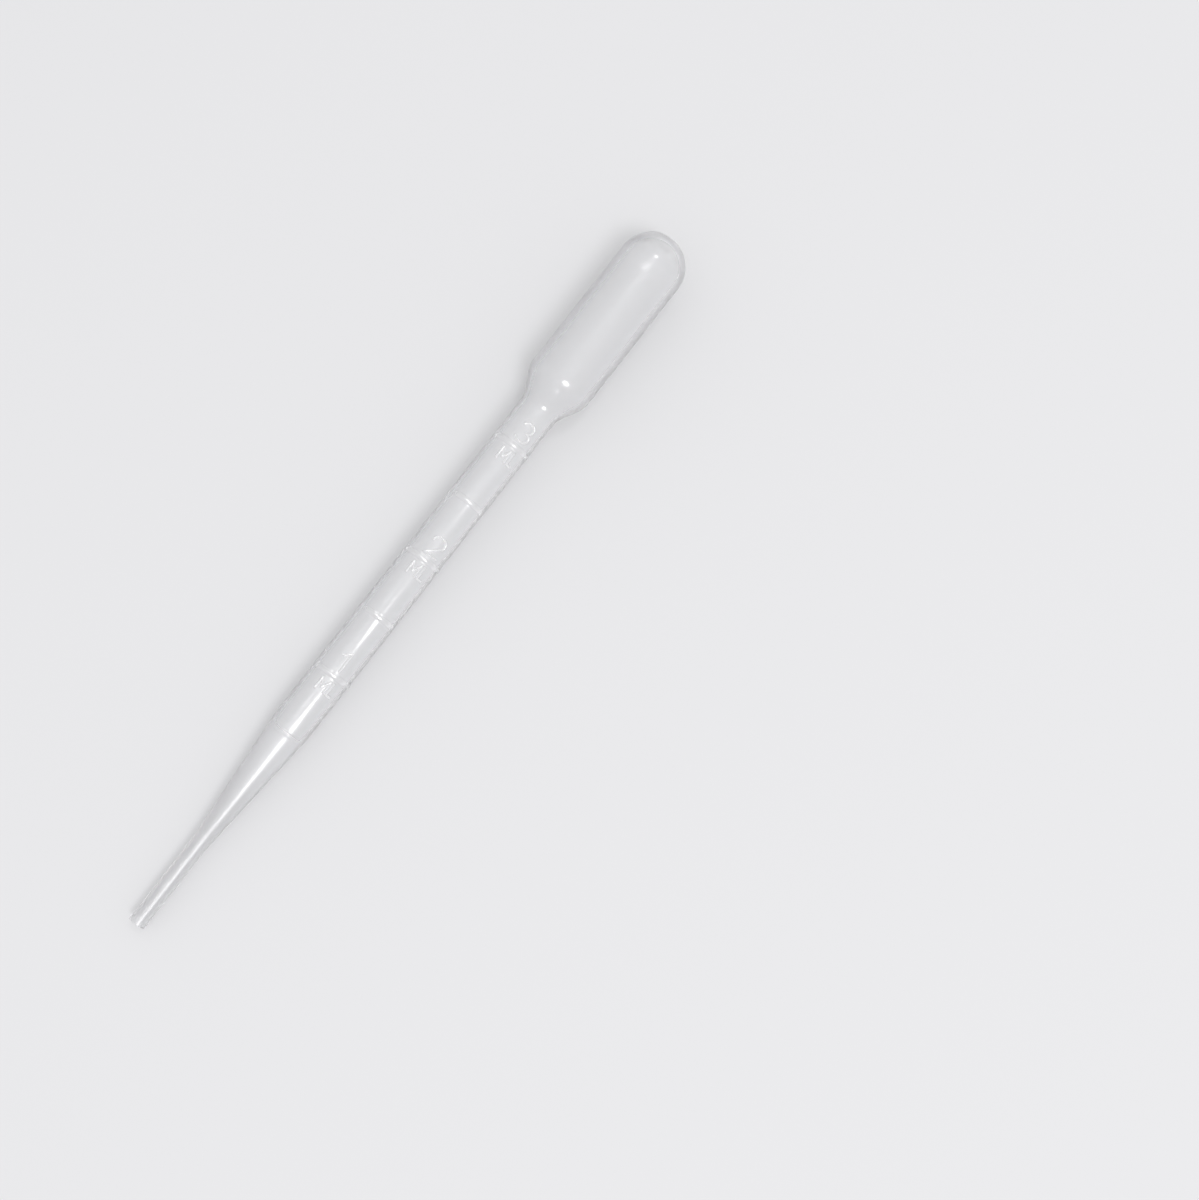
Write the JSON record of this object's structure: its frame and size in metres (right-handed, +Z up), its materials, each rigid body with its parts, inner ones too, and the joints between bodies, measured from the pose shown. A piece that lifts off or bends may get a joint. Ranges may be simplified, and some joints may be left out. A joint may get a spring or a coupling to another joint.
{
  "type": "transfer pipette",
  "caption": "One-piece blown plastic dropper: thin straight tip, long cone, graduated barrel with raised cross ribs, short shoulder and domed squeeze bulb, lying on its side",
  "frame": {"origin": "on the surface the pipette lies on, below the middle of its length and width", "axes": "+X runs from the tip to the bulb along the surface, +Z is up. The pipette's own axis rises 1.98 degrees towards the bulb, because it rests on the end of its cone and on the bend into its bulb, and the middle line of its scale faces up and 22.5 degrees round towards -Y"},
  "size_m": [0.1602, 0.013, 0.014],
  "materials": {
    "clear_polyethylene": "clear, slightly milky low-density polyethylene, glossy on the tip and barrel, finely textured on the bulb"
  },
  "bodies": {
    "root": {"pipette": "clear_polyethylene"}
  },
  "joints": []
}
